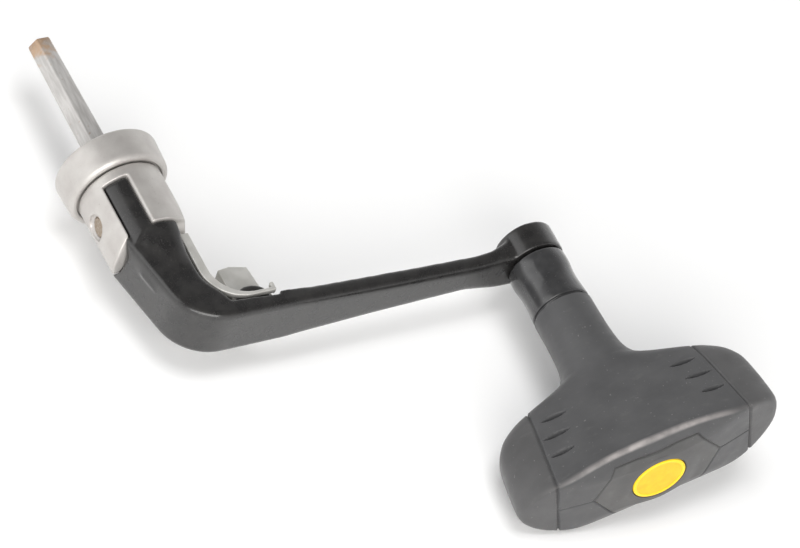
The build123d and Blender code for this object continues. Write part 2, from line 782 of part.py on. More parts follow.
with BuildPart() as knob_form:
    with BuildSketch(knob_front):
        with BuildLine():
            half = [
                Line((0, bar_shoulder), (9.0, 72.0)),
                Line((9.0, 72.0), (17.0, 74.8)),
                ThreePointArc((17.0, 74.8), (22.8, 78.8), (25.0, 84.5)),
                Line((25.0, 84.5), (bar_half_length, bar_end_edge)),
            ]
            mirror(half, about=Plane.YZ)
            ThreePointArc(
                (-bar_half_length, bar_end_edge),
                (0, bar_end_crown),
                (bar_half_length, bar_end_edge),
            )
        make_face()
    extrude(amount=bar_half_thickness + 1, both=True)
    with BuildSketch(knob_plan.offset(bar_shoulder - 1)):
        with BuildLine():
            Spline(*superellipse(bar_half_length, bar_half_thickness, bar_roundness, 32), periodic=True)
        make_face()
    extrude(amount=bar_end_crown - bar_shoulder + 2, mode=Mode.INTERSECT)
    # Seen from its end the bar is a wedge, thickest at the ridge round its end face
    with BuildSketch(bar_end):
        with BuildLine():
            Polyline(
                (bar_shoulder - 1, -shoulder_half_thickness),
                (bar_shoulder + 3, -shoulder_half_thickness),
                (ridge, -bar_half_thickness),
                (bar_end_crown, -badge_radius - 0.4),
                (bar_end_crown, badge_radius + 0.4),
                (ridge, bar_half_thickness),
                (bar_shoulder + 3, shoulder_half_thickness),
                (bar_shoulder - 1, shoulder_half_thickness),
                close=True,
            )
        section_face = make_face()
        fillet(section_face.vertices().filter_by(lambda corner: corner.X > bar_shoulder + 5), ridge_radius)
    extrude(amount=bar_half_length + 1, both=True, mode=Mode.INTERSECT)
    with BuildSketch(knob_plan.offset(ferrule_end)):
        Circle(neck_radius)
    with BuildSketch(knob_plan.offset(bar_shoulder + 8)):
        Circle(neck_radius + 1.5)
    loft()

# The seams between the grip and its end caps lean outwards towards the end face
seam_end = cap_seam_start + cap_seam_lean * (bar_end_crown + 1 - 75)
with BuildPart() as grip_zone:
    with BuildSketch(knob_front):
        with BuildLine():
            Polyline(
                (-cap_seam_start, 50),
                (-cap_seam_start, 75),
                (-seam_end, bar_end_crown + 1),
                (seam_end, bar_end_crown + 1),
                (cap_seam_start, 75),
                (cap_seam_start, 50),
                close=True,
            )
        make_face()
    extrude(amount=bar_half_thickness + 1, both=True)

# ---------------------------------------------------------------- end caps
for side, label in ((1, "end_cap_right"), (-1, "end_cap_left")):
    with BuildPart() as end_cap:
        add(knob_form.part)
        add(grip_zone.part, mode=Mode.SUBTRACT)
        split(bisect_by=Plane((crank_radius, 0, 0), z_dir=bar_direction * side), keep=Keep.TOP)
        add(core_blank.part, mode=Mode.SUBTRACT)
    end_cap.part.label = label
    export_step(end_cap.part, f"parts/{label}.step")

# ---------------------------------------------------------------- end panel and badge
panel_outline = [
    (-panel_half_length, 0),
    (-panel_corner, panel_half_width),
    (panel_corner, panel_half_width),
    (panel_half_length, 0),
    (panel_corner, -panel_half_width),
    (-panel_corner, -panel_half_width),
]
panel_floor = bar_core_end + panel_thickness
with BuildPart() as end_panel:
    with BuildSketch(knob_plan.offset(panel_floor)):
        Polygon(*panel_outline, align=None)
    extrude(amount=bar_end_crown - panel_floor + 1)
    add(knob_form.part, mode=Mode.INTERSECT)
    with BuildSketch(knob_plan.offset(bar_end_crown - badge_depth)):
        Circle(badge_radius)
    extrude(amount=badge_depth, mode=Mode.SUBTRACT)
end_panel.part.label = "end_panel"
export_step(end_panel.part, "parts/end_panel.step")

with BuildPart() as badge_disc:
    with BuildSketch(knob_plan.offset(bar_end_crown - badge_depth)):
        Circle(badge_radius)
    extrude(amount=badge_depth)
    fillet(badge_disc.faces().sort_by(Axis.Y)[0].edges(), 0.3)
badge_disc.part.label = "badge_disc"
export_step(badge_disc.part, "parts/badge_disc.step")

# ---------------------------------------------------------------- rubber grip
with BuildPart() as knob_grip:
    add(knob_form.part)
    add(grip_zone.part, mode=Mode.INTERSECT)
    add(core_blank.part, mode=Mode.SUBTRACT)
    # Well over the retaining screw, and the seat of the end panel
    with BuildSketch(knob_plan.offset(bar_core_end)):
        Circle(screw_well_radius)
    extrude(amount=panel_floor - bar_core_end, mode=Mode.SUBTRACT)
    with BuildSketch(knob_plan.offset(panel_floor)):
        Polygon(*panel_outline, align=None)
    extrude(amount=bar_end_crown - panel_floor + 1, mode=Mode.SUBTRACT)
    # Three grip slits at each end of both broad faces
    for side in (-1, 1):
        for face_side in (-1, 1):
            for centre, distance, length in slits:
                slit_plane = Plane(
                    Vector(crank_radius, -distance, 0)
                    + bar_direction * (side * centre)
                    + bar_normal * (face_side * (broad_face_height(distance) - slit_depth)),
                    x_dir=bar_direction,
                    z_dir=bar_normal * face_side,
                )
                with BuildSketch(slit_plane):
                    Ellipse(length / 2, slit_width / 2)
                extrude(amount=2 * slit_depth, mode=Mode.SUBTRACT)
knob_grip.part.label = "knob_grip"
export_step(knob_grip.part, "parts/knob_grip.step")
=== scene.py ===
from math import cos, pi, radians, sin

import bmesh
import bpy
import numpy as np
from mathutils import Matrix, Vector


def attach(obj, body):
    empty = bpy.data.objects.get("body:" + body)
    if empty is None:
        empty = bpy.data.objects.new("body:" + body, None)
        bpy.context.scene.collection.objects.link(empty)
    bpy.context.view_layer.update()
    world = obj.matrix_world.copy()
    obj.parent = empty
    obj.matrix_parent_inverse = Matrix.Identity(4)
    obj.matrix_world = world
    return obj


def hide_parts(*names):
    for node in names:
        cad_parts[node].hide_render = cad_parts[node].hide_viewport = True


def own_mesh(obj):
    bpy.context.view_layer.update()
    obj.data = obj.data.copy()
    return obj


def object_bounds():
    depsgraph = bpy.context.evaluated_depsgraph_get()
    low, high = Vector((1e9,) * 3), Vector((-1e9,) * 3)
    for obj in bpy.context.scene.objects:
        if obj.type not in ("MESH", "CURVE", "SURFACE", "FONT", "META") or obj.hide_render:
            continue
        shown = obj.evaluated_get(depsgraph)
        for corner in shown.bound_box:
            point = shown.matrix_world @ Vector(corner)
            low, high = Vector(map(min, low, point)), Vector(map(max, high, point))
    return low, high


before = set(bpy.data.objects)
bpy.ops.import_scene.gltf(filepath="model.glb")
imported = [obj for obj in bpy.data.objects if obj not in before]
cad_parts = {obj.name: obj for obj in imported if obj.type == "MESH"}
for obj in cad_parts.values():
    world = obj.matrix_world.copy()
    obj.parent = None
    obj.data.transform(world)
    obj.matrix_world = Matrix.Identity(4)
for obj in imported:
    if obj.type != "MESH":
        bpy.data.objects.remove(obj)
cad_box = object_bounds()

# Looks of a spinning reel's folding crank handle. Sizes are in millimetres until a mesh is made:
# +Y runs along the drive shaft into the reel, +X along the crank arm to the knob.
MM = 0.001

# ---------------------------------------------------------------- driving dimensions
crank_radius = 71.4  # drive axis to knob axis

shaft_length = 30.3
shaft_flats_base = 5.15
shaft_flats_tip = 4.4
shaft_edge_round = 0.35
shaft_root_y = -0.6
tip_chamfer = 0.5
cap_thread_radius = 1.25
cap_thread_depth = 9.0
cap_thread_pitch = 0.45
rust_start_y = 25.5
rust_full_y = 29.5

collar_rim_radius = 10.35
collar_near_radius = 10.1
collar_face_radius = 9.0
collar_height = 6.8
seal_outer_radius = 8.5
seal_depth = 1.6
spigot_radius = 6.0

spring_x = 12.4
spring_foot_y = -41.38
spring_top_y = -39.17
spring_radius = 0.95
spring_wire = 0.22
spring_turns = 4
spring_steps_per_turn = 40
spring_wire_sides = 14

knob_start = 43.5  # distances along the knob axis are measured from the drive axis's plane
ferrule_radius = 5.9
ferrule_waist = 49.2
ferrule_end = 55.0
core_neck_radius = 4.7

bar_turn = radians(17.7)
ridge = 92.8
end_crown = 95.2
crown_drop = 3.8  # how far the end face falls from its middle to the bar's ends
bevel_start = 5.8  # half-width of the end face's flat middle
bevel_slope = 0.52
bar_half_length = 26.9
bar_half_thickness = 10.5
badge_radius = 5.4
badge_depth = 1.0
badge_gap = 0.22
skin_thickness = 1.3

# Half-length and half-thickness of the knob's outer form, and how square its section is,
# by distance out along the knob axis
length_profile = (
    (55.0, 5.95), (61.0, 6.05), (65.5, 6.4), (68.0, 7.0), (69.9, 8.2),
    (71.1, 9.9), (72.0, 12.0), (72.9, 14.6), (74.0, 17.9), (75.2, 20.9),
    (77.2, 23.6), (80.2, 25.4), (84.5, 26.2), (88.5, 26.6), (ridge, bar_half_length),
)
thickness_profile = (
    (55.0, 5.95), (61.0, 5.95), (66.0, 6.05), (70.0, 6.15), (72.5, 6.1),
    (75.0, 6.2), (78.0, 6.85), (84.0, 8.2), (88.0, 9.1), (ridge, bar_half_thickness),
)
squareness_profile = (
    (55.0, 2.0), (66.0, 2.0), (70.0, 2.1), (72.0, 2.6), (74.0, 3.1), (77.0, 3.2), (82.0, 2.9), (ridge, 2.45),
)

seam_start = 17.0  # along the bar, where the end cap's seam meets the shoulder
seam_start_out = 75.0
seam_lean = 0.154
seam_depth = 0.42
seam_half_width = 0.36
panel_half_length = 13.0
panel_half_width = 8.0
panel_corner = 8.5
# Centre along the bar, distance out and length of each grip slit
slits = ((13.3, 78.2, 5.4), (14.6, 82.2, 5.6), (15.4, 86.4, 5.0))
slit_half_width = 0.62
slit_depth = 0.95


# ---------------------------------------------------------------- curves
def smoothstep(low, high, value):
    share = np.clip((value - low) / (high - low), 0.0, 1.0)
    return share * share * (3 - 2 * share)


def smooth_curve(knots, at):
    """Cubic through the knots that never overshoots them."""
    x, y = np.array(knots, float).T
    secant = np.diff(y) / np.diff(x)
    pairs = secant[:-1] * secant[1:]
    inner = np.where(pairs > 0, 2 * pairs / np.where(pairs > 0, secant[:-1] + secant[1:], 1.0), 0.0)
    slope = np.concatenate((secant[:1], inner, secant[-1:]))
    index = np.clip(np.searchsorted(x, at) - 1, 0, len(x) - 2)
    step = x[index + 1] - x[index]
    share = (at - x[index]) / step
    rise = y[index + 1] - y[index]
    ease = share * share * (3 - 2 * share)
    swing = share * (1 - share) * ((1 - share) * slope[index] - share * slope[index + 1]) * step
    return y[index] + ease * rise + swing


def rounded_corners(outline, steps=6):
    """Closed outline of (radius, along, corner size) with each corner drawn as a curve."""
    points = []
    for index, (radius, along, size) in enumerate(outline):
        corner = np.array((radius, along))
        before = np.array(outline[index - 1][:2]) - corner
        after = np.array(outline[(index + 1) % len(outline)][:2]) - corner
        if size == 0:
            points.append(corner)
            continue
        before *= min(size / np.linalg.norm(before), 0.45)
        after *= min(size / np.linalg.norm(after), 0.45)
        for share in np.linspace(0, 1, steps + 1):
            points.append(corner + before * (1 - share) ** 2 + after * share**2)
    return np.array(points)


# ---------------------------------------------------------------- meshes
weld_distance = 0.0005  # points closer than this are one point


def new_piece(name, mesh):
    piece = bpy.data.objects.new(name, mesh)
    bpy.context.scene.collection.objects.link(piece)
    return piece


def mesh_from_grid(name, rings, closed_along=False):
    """Mesh through rings of points, each ring closed; rings is (count, around, 3) in millimetres."""
    count, around = rings.shape[:2]
    faces = []
    for i in range(count if closed_along else count - 1):
        for j in range(around):
            k = (j + 1) % around
            n = (i + 1) % count
            faces.append((i * around + j, i * around + k, n * around + k, n * around + j))
    mesh = bpy.data.meshes.new(name)
    mesh.from_pydata((rings.reshape(-1, 3) * MM).tolist(), [], faces)
    clean(mesh)
    return mesh


def clean(mesh):
    """Joins points that meet, drops flat slivers and turns every face outwards."""
    shape = bmesh.new()
    shape.from_mesh(mesh)
    bmesh.ops.remove_doubles(shape, verts=shape.verts, dist=weld_distance * MM)
    bmesh.ops.dissolve_degenerate(shape, edges=shape.edges, dist=weld_distance * MM)
    bmesh.ops.recalc_face_normals(shape, faces=shape.faces)
    shape.to_mesh(mesh)
    shape.free()


def shade(mesh, sharp_above=40.0):
    mesh.shade_smooth()
    mesh.set_sharp_from_angle(angle=radians(sharp_above))


def turned(name, outline, centre_x=0.0, around=144):
    """Solid of revolution about the Y direction through centre_x; outline is (radius, y, corner size)."""
    profile = rounded_corners(outline)
    angles = np.linspace(0, 2 * pi, around, endpoint=False)
    radius, along = profile[:, :1], profile[:, 1:]
    rings = np.stack(
        (
            centre_x + radius * np.cos(angles),
            np.repeat(along, around, axis=1),
            radius * np.sin(angles),
        ),
        axis=2,
    )
    mesh = mesh_from_grid(name, rings, closed_along=True)
    shade(mesh)
    return new_piece(name, mesh)


def points_of(mesh):
    flat = np.zeros(len(mesh.vertices) * 3)
    mesh.vertices.foreach_get("co", flat)
    return flat.reshape(-1, 3) / MM


def put_points(mesh, points):
    mesh.vertices.foreach_set("co", (points * MM).ravel())
    mesh.update()


def relax(mesh, rounds, weight=0.5):
    """Draws each vertex towards the mean of its neighbours; weight is one number or one per vertex."""
    points = points_of(mesh)
    ends = np.zeros(len(mesh.edges) * 2, int)
    mesh.edges.foreach_get("vertices", ends)
    first, second = ends.reshape(-1, 2).T
    count = len(points)
    degree = np.maximum(np.bincount(first, minlength=count) + np.bincount(second, minlength=count), 1)
    share = np.broadcast_to(np.asarray(weight, float), (count,))[:, None]
    for _ in range(rounds):
        total = np.stack(
            [
                np.bincount(first, points[second, axis], count)
                + np.bincount(second, points[first, axis], count)
                for axis in range(3)
            ],
            axis=1,
        )
        points += share * (total / degree[:, None] - points)
    put_points(mesh, points)


def with_modifier(piece, kind, **settings):
    """Replaces the piece's mesh by what one modifier makes of it."""
    modifier = piece.modifiers.new(kind, kind)
    for key, value in settings.items():
        setattr(modifier, key, value)
    bpy.context.view_layer.update()
    result = bpy.data.meshes.new_from_object(piece.evaluated_get(bpy.context.evaluated_depsgraph_get()))
    piece.modifiers.clear()
    piece.data = result


def softened(node, name, voxel, rounds):
    """Even mesh on a CAD solid's surface, with its edges rounded as on a casting."""
    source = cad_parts[node]
    piece = new_piece(name, source.data.copy())
    piece.data.materials.clear()
    clean(piece.data)
    with_modifier(piece, "REMESH", mode="VOXEL", voxel_size=voxel * MM, adaptivity=0.0)
    with_modifier(piece, "SHRINKWRAP", target=source, wrap_method="NEAREST_SURFACEPOINT")
    relax(piece.data, rounds)
    piece.data.shade_smooth()
    return piece


# ---------------------------------------------------------------- materials
class Finish:
    """A material whose colour, roughness and bump come from procedural textures in object space."""

    def __init__(self, name, roughness, metallic=0.0, specular=0.5, coat=0.0, coat_roughness=0.1):
        self.material = bpy.data.materials.new(name)
        self.material.use_nodes = True
        self.nodes = self.material.node_tree.nodes
        self.links = self.material.node_tree.links
        self.shader = self.nodes["Principled BSDF"]
        self.shader.inputs["Metallic"].default_value = metallic
        self.shader.inputs["Roughness"].default_value = roughness
        self.shader.inputs["Specular IOR Level"].default_value = specular
        self.shader.inputs["Coat Weight"].default_value = coat
        self.shader.inputs["Coat Roughness"].default_value = coat_roughness
        self.place = self.nodes.new("ShaderNodeTexCoord").outputs["Object"]

    def noise(self, size, detail=2.0, stretch=(1.0, 1.0, 1.0)):
        """Noise whose features are about size millimetres across, longer where stretch is below 1."""
        mapping = self.nodes.new("ShaderNodeMapping")
        mapping.inputs["Scale"].default_value = stretch
        self.links.new(self.place, mapping.inputs["Vector"])
        texture = self.nodes.new("ShaderNodeTexNoise")
        texture.inputs["Scale"].default_value = 1 / (size * MM)
        texture.inputs["Detail"].default_value = detail
        self.links.new(mapping.outputs["Vector"], texture.inputs["Vector"])
        return texture.outputs["Fac"]

    def coordinate(self, axis):
        """Object coordinate along X, Y or Z, in millimetres."""
        parts = self.nodes.new("ShaderNodeSeparateXYZ")
        self.links.new(self.place, parts.inputs["Vector"])
        scaled = self.nodes.new("ShaderNodeMath")
        scaled.operation = "MULTIPLY"
        scaled.inputs[1].default_value = 1 / MM
        self.links.new(parts.outputs[axis], scaled.inputs[0])
        return scaled.outputs[0]

    def attribute(self, name):
        node = self.nodes.new("ShaderNodeAttribute")
        node.attribute_name = name
        return node.outputs["Fac"]

    def graded(self, source, low, high, start, end):
        """Maps source from low..high to start..end, held at both ends."""
        node = self.nodes.new("ShaderNodeMapRange")
        node.inputs["From Min"].default_value = low
        node.inputs["From Max"].default_value = high
        node.inputs["To Min"].default_value = start
        node.inputs["To Max"].default_value = end
        self.links.new(source, node.inputs["Value"])
        return node.outputs["Result"]

    def math(self, operation, first, second):
        node = self.nodes.new("ShaderNodeMath")
        node.operation = operation
        for socket, value in zip(node.inputs, (first, second)):
            if isinstance(value, float):
                socket.default_value = value
            else:
                self.links.new(value, socket)
        return node.outputs[0]

    def mixed(self, share, first, second):
        """Colour between two colours or colour outputs, by share."""
        node = self.nodes.new("ShaderNodeMix")
        node.data_type = "RGBA"
        self.links.new(share, node.inputs["Factor"])
        for socket, value in ((node.inputs[6], first), (node.inputs[7], second)):
            if isinstance(value, tuple):
                socket.default_value = (*value, 1.0)
            else:
                self.links.new(value, socket)
        return node.outputs[2]

    def clouded(self, source, dark, light, low=0.35, high=0.65):
        """Colour that wanders between dark and light with a noise."""
        return self.mixed(self.graded(source, low, high, 0.0, 1.0), dark, light)

    def colour(self, output):
        self.links.new(output, self.shader.inputs["Base Color"])

    def roughness(self, output):
        self.links.new(output, self.shader.inputs["Roughness"])

    def bump(self, *layers):
        """Stacks bump layers of (height output, depth in millimetres)."""
        normal = None
        for height, depth in layers:
            node = self.nodes.new("ShaderNodeBump")
            node.inputs["Strength"].default_value = 1.0
            node.inputs["Distance"].default_value = depth * MM
            self.links.new(height, node.inputs["Height"])
            if normal is not None:
                self.links.new(normal, node.inputs["Normal"])
            normal = node.outputs["Normal"]
        self.links.new(normal, self.shader.inputs["Normal"])


def silver_casting():
    """Satin silver paint on a zinc casting."""
    finish = Finish("satin_silver_casting", 0.42, metallic=0.55, specular=0.5)
    blotch = finish.noise(4.0, 3.0)
    grain = finish.noise(0.16, 2.0)
    speck = finish.noise(0.4, 3.0)
    base = finish.clouded(blotch, (0.50, 0.475, 0.455), (0.575, 0.555, 0.53))
    finish.colour(finish.mixed(finish.graded(speck, 0.66, 0.74, 0.0, 0.45), base, (0.32, 0.29, 0.26)))
    finish.roughness(finish.graded(grain, 0.3, 0.7, 0.36, 0.5))
    finish.bump((finish.noise(1.6, 2.0), 0.015), (grain, 0.012))
    return finish.material


def lever_silver():
    """Satin paint on the pressed lever, a little lighter than the casting."""
    finish = Finish("satin_silver_lever", 0.4, metallic=0.5)
    blotch = finish.noise(3.0, 2.0)
    finish.colour(finish.clouded(blotch, (0.56, 0.55, 0.52), (0.66, 0.65, 0.62)))
    finish.roughness(finish.graded(finish.noise(0.2), 0.3, 0.7, 0.34, 0.48))
    finish.bump((finish.noise(0.3, 2.0), 0.008))
    return finish.material


def plated_steel():
    """Dull plating on the drive shaft, rubbed and rusty towards its tip."""
    finish = Finish("plated_steel", 0.42, metallic=0.4)
    along = finish.coordinate("Y")
    streak = finish.noise(0.5, 3.0, (1.0, 0.12, 1.0))
    stain = finish.noise(1.3, 4.0)
    plate = finish.clouded(streak, (0.45, 0.435, 0.42), (0.58, 0.565, 0.55))
    wandering = finish.math("ADD", along, finish.graded(stain, 0.2, 0.8, -3.5, 3.5))
    worn = finish.graded(wandering, rust_start_y, rust_full_y, 0.0, 0.9)
    rusty = finish.clouded(stain, (0.32, 0.19, 0.10), (0.46, 0.31, 0.20), 0.4, 0.6)
    spots = finish.graded(finish.noise(0.8, 3.0), 0.66, 0.74, 0.0, 0.6)
    spotted = finish.mixed(spots, plate, (0.33, 0.22, 0.14))
    finish.colour(finish.mixed(worn, spotted, rusty))
    finish.roughness(finish.graded(streak, 0.3, 0.7, 0.32, 0.5))
    finish.bump((streak, 0.01), (finish.noise(0.25, 3.0), 0.008))
    return finish.material


def plain_metal(name, dark, light, roughness, metallic=0.9):
    finish = Finish(name, roughness, metallic=metallic)
    streak = finish.noise(0.4, 3.0)
    finish.colour(finish.clouded(streak, dark, light, 0.3, 0.7))
    finish.roughness(finish.graded(finish.noise(0.25), 0.3, 0.7, roughness - 0.06, roughness + 0.08))
    finish.bump((streak, 0.006))
    return finish.material


def black_gloss():
    """Black enamel with the fine pebbling and flecks of a sprayed casting."""
    finish = Finish("black_gloss_enamel", 0.26, specular=0.5, coat=0.5, coat_roughness=0.12)
    fleck = finish.noise(0.22, 2.0)
    cloud = finish.noise(3.0, 2.0)
    base = finish.clouded(cloud, (0.013, 0.0125, 0.0125), (0.021, 0.020, 0.0195))
    finish.colour(finish.mixed(finish.graded(fleck, 0.60, 0.74, 0.0, 0.6), base, (0.075, 0.070, 0.066)))
    finish.roughness(finish.graded(cloud, 0.3, 0.7, 0.24, 0.34))
    finish.bump((finish.noise(0.9, 1.0), 0.012), (finish.noise(0.35, 2.0), 0.006))
    return finish.material


def ferrule_gloss():
    """Smooth gloss black on the ferrule, without the arm's flecks."""
    finish = Finish("ferrule_gloss", 0.2, specular=0.5, coat=0.4, coat_roughness=0.08)
    cloud = finish.noise(2.5, 2.0)
    finish.colour(finish.clouded(cloud, (0.028, 0.028, 0.029), (0.040, 0.040, 0.041)))
    finish.roughness(finish.graded(finish.noise(0.6, 3.0), 0.3, 0.7, 0.17, 0.28))
    finish.bump((finish.noise(1.2, 1.0), 0.006))
    return finish.material


def soft_rubber(name, dark, light):
    """Matte moulded rubber with a fine grain, scuffs, dust and a glossier ridge whose colour is lightened as
    a painted highlight.
    """
    finish = Finish(name, 0.55, specular=0.42)
    finish.shader.inputs["Sheen Weight"].default_value = 0.12
    finish.shader.inputs["Sheen Roughness"].default_value = 0.5
    cloud = finish.noise(7.0, 3.0)
    grain = finish.noise(0.12, 2.0)
    scuff = finish.noise(1.4, 4.0, (0.5, 1.0, 0.5))
    dust = finish.noise(0.55, 1.0)
    base = finish.clouded(cloud, dark, light)
    scuffed = finish.mixed(finish.graded(scuff, 0.62, 0.8, 0.0, 0.3), base, (0.13, 0.128, 0.125))
    ridge_gloss_and_highlight = finish.attribute("ridge_gloss_and_highlight")
    # Painted highlight: along the ridge the colour is lightened towards a pale grey where light would catch
    # it. The lower roughness there is real gloss.
    worn = finish.math("MULTIPLY", ridge_gloss_and_highlight, finish.graded(finish.noise(3.0, 3.0), 0.3, 0.6, 0.45, 1.0))
    ridge_with_painted_highlight = finish.mixed(worn, scuffed, (0.36, 0.335, 0.325))
    finish.colour(finish.mixed(finish.graded(dust, 0.735, 0.78, 0.0, 0.45), ridge_with_painted_highlight, (0.24, 0.235, 0.23)))
    dull = finish.graded(scuff, 0.3, 0.75, 0.6, 0.44)
    finish.roughness(finish.math("SUBTRACT", dull, finish.math("MULTIPLY", worn, 0.2)))
    finish.bump((finish.noise(2.2, 2.0), 0.02), (grain, 0.010))
    return finish.material


def badge_yellow():
    """Glossy yellow disc, brighter round its turned-down rim."""
    finish = Finish("badge_yellow", 0.45, specular=0.25, coat=0.1, coat_roughness=0.3)
    mottle = finish.noise(1.6, 3.0)
    rim = finish.attribute("rim")
    middle = finish.clouded(mottle, (0.86, 0.47, 0.010), (0.93, 0.54, 0.014))
    finish.colour(finish.mixed(rim, middle, (0.97, 0.66, 0.02)))
    finish.roughness(finish.graded(finish.noise(0.3), 0.3, 0.7, 0.38, 0.5))
    finish.bump((finish.noise(0.5, 2.0), 0.008))
    return finish.material


def dark_plastic(name, dark, light, roughness=0.5):
    finish = Finish(name, roughness)
    finish.colour(finish.clouded(finish.noise(1.5, 3.0), dark, light, 0.3, 0.7))
    finish.roughness(finish.graded(finish.noise(0.3), 0.3, 0.7, roughness - 0.05, roughness + 0.08))
    finish.bump((finish.noise(0.2, 2.0), 0.008))
    return finish.material


def pale_floor():
    finish = Finish("studio_floor", 0.75, specular=0.2)
    finish.colour(finish.mixed(finish.noise(40.0, 2.0), (0.95, 0.95, 0.95), (0.97, 0.97, 0.97)))
    return finish.material


silver = silver_casting()
steel = plated_steel()
enamel = black_gloss()
grip_rubber = soft_rubber("grip_rubber", (0.058, 0.058, 0.060), (0.072, 0.072, 0.074))
cap_rubber = soft_rubber("cap_rubber", (0.062, 0.061, 0.062), (0.076, 0.075, 0.076))
panel_rubber = soft_rubber("panel_rubber", (0.066, 0.065, 0.065), (0.080, 0.079, 0.078))

small_part_finishes = {
    "collar_seal": dark_plastic("seal_rubber", (0.012, 0.012, 0.012), (0.02, 0.02, 0.02), 0.6),
    "fold_pin": plain_metal("pin_steel", (0.26, 0.20, 0.14), (0.42, 0.36, 0.30), 0.42),
    "pivot_washers": dark_plastic("nylon", (0.03, 0.03, 0.03), (0.05, 0.05, 0.05), 0.5),
    "pivot_bush": plain_metal("bush_bronze", (0.45, 0.29, 0.12), (0.56, 0.38, 0.18), 0.35),
    "lever_spring": plain_metal("spring_steel", (0.36, 0.36, 0.37), (0.52, 0.52, 0.53), 0.3),
    "knob_axle": plain_metal("axle_steel", (0.09, 0.09, 0.092), (0.14, 0.14, 0.142), 0.34),
}


# ---------------------------------------------------------------- placing
def place(piece, body, node, material):
    piece.data.materials.clear()
    piece.data.materials.append(material)
    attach(piece, body)
    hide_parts(node)
    return piece


def refinish(node, material):
    """Gives a CAD node that stays a better material."""
    for index in range(len(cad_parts[node].material_slots)):
        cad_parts[node].material_slots[index].material = material


# ---------------------------------------------------------------- drive shaft
def hexagon(flats, y, corner=shaft_edge_round):
    """Hexagon across the shaft with a flat towards +Z, its corners drawn as curves."""
    radius = flats / 2 / cos(pi / 6)
    corners = [(radius * cos(pi / 3 * k), radius * sin(pi / 3 * k), corner) for k in range(6)]
    ring = rounded_corners(corners, 7)
    return np.stack((ring[:, 0], np.full(len(ring), y), ring[:, 1]), axis=1)


def circle_like(ring, radius, y):
    """Circle with its points at the same bearings as a ring's."""
    bearing = np.arctan2(ring[:, 2], ring[:, 0])
    return np.stack((radius * np.cos(bearing), np.full(len(ring), y), radius * np.sin(bearing)), axis=1)


def make_shaft():
    base = hexagon(shaft_flats_base, shaft_root_y)
    rings = [circle_like(base, 0.01, shaft_root_y), base]
    for y in np.linspace(0.5, shaft_length - tip_chamfer, 28):
        share = y / shaft_length
        rings.append(hexagon(shaft_flats_base + share * (shaft_flats_tip - shaft_flats_base), y))
    tip = hexagon(shaft_flats_tip - 1.3 * tip_chamfer, shaft_length)
    rings.append(hexagon(shaft_flats_tip - 0.25 * tip_chamfer, shaft_length - 0.3 * tip_chamfer))
    rings.append(tip)
    rings.append(circle_like(tip, cap_thread_radius + 0.28, shaft_length - 0.02))
    rings.append(circle_like(tip, cap_thread_radius + 0.03, shaft_length - 0.3))
    for depth in np.arange(0.4, cap_thread_depth, cap_thread_pitch / 4):
        crest = 0.1 * cos(2 * pi * depth / cap_thread_pitch)
        rings.append(circle_like(tip, cap_thread_radius - 0.08 + crest, shaft_length - depth))
    rings.append(circle_like(tip, 0.01, shaft_length - cap_thread_depth - 0.4))
    mesh = mesh_from_grid("shaft_hex", np.array(rings))
    shade(mesh, sharp_above=45)
    place(new_piece("shaft_hex", mesh), "drive", "drive_shaft", steel)


make_shaft()

# ---------------------------------------------------------------- collar and clevis
collar_outline = (
    (spigot_radius, -seal_depth, 0),
    (seal_outer_radius, -seal_depth, 0.1),
    (seal_outer_radius, 0, 0.25),
    (collar_rim_radius, 0, 0.7),
    (collar_near_radius, 0.75 - collar_height, 0.55),
    (collar_face_radius + 0.45, -collar_height, 0.5),
    (collar_face_radius - 0.25, -collar_height, 0.2),
    (collar_face_radius - 0.5, -collar_height + 0.45, 0.1),
    (spigot_radius, -collar_height + 0.45, 0),
)
place(turned("collar_rim", collar_outline), "drive", "collar", silver)

clevis = softened("hinge_clevis", "clevis_casting", voxel=0.17, rounds=7)
place(clevis, "drive", "hinge_clevis", silver)

# ---------------------------------------------------------------- crank arm
# Where the casting is drawn smoother; each pair runs from no smoothing to full smoothing
below_shoulder_y = (-22.6, -25.0)
above_bend_y = (-38.0, -30.0)
upper_side_z = (1.0, 3.0)
leg_near_x = (18.0, 24.0)
leg_far_x = (70.0, 62.0)
leg_share = 0.6
smoothing_rounds = 60


def make_arm():
    """The casting: the joint with the clevis keeps crisp edges, the bend and the legs are softer."""
    arm = softened("crank_arm", "arm_casting", voxel=0.2, rounds=9)
    points = points_of(arm.data)
    x, y, z = points.T
    below_shoulder = smoothstep(*below_shoulder_y, y)
    hump_zone = below_shoulder * smoothstep(*above_bend_y, y) * smoothstep(*upper_side_z, z)
    leg_zone = smoothstep(*leg_near_x, x) * smoothstep(*leg_far_x, x)
    relax(arm.data, smoothing_rounds, 0.5 * np.clip(hump_zone + leg_share * leg_zone, 0, 1))
    place(arm, "arm", "crank_arm", enamel)


make_arm()

# ---------------------------------------------------------------- release lever
lever = softened("release_lever", "lever_sheet", voxel=0.14, rounds=6)
place(lever, "lever", "release_lever", lever_silver())

# ---------------------------------------------------------------- lever spring
def make_spring():
    """Coil under the lever's tail, drawn at one fixed length."""
    turn = np.linspace(0, 2 * pi * spring_turns, spring_steps_per_turn * spring_turns + 1)
    rise = np.linspace(spring_foot_y, spring_top_y, len(turn))
    outward = np.stack((np.cos(turn), np.zeros(len(turn)), np.sin(turn)), axis=1)
    centre = np.stack((spring_x + spring_radius * np.cos(turn), rise, spring_radius * np.sin(turn)), axis=1)
    bearing = np.linspace(0, 2 * pi, spring_wire_sides, endpoint=False)[None, :, None]
    rings = centre[:, None] + spring_wire * (
        np.cos(bearing) * outward[:, None] + np.sin(bearing) * np.array((0.0, 1.0, 0.0))
    )
    ends = [np.repeat(centre[index][None, None], spring_wire_sides, axis=1) for index in (0, -1)]
    mesh = mesh_from_grid("spring_coil", np.concatenate((ends[0], rings, ends[1])))
    shade(mesh, sharp_above=60)
    finish = small_part_finishes["lever_spring"]
    spring = place(new_piece("spring_coil", mesh), "arm", "lever_spring", finish)
    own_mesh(spring)


make_spring()

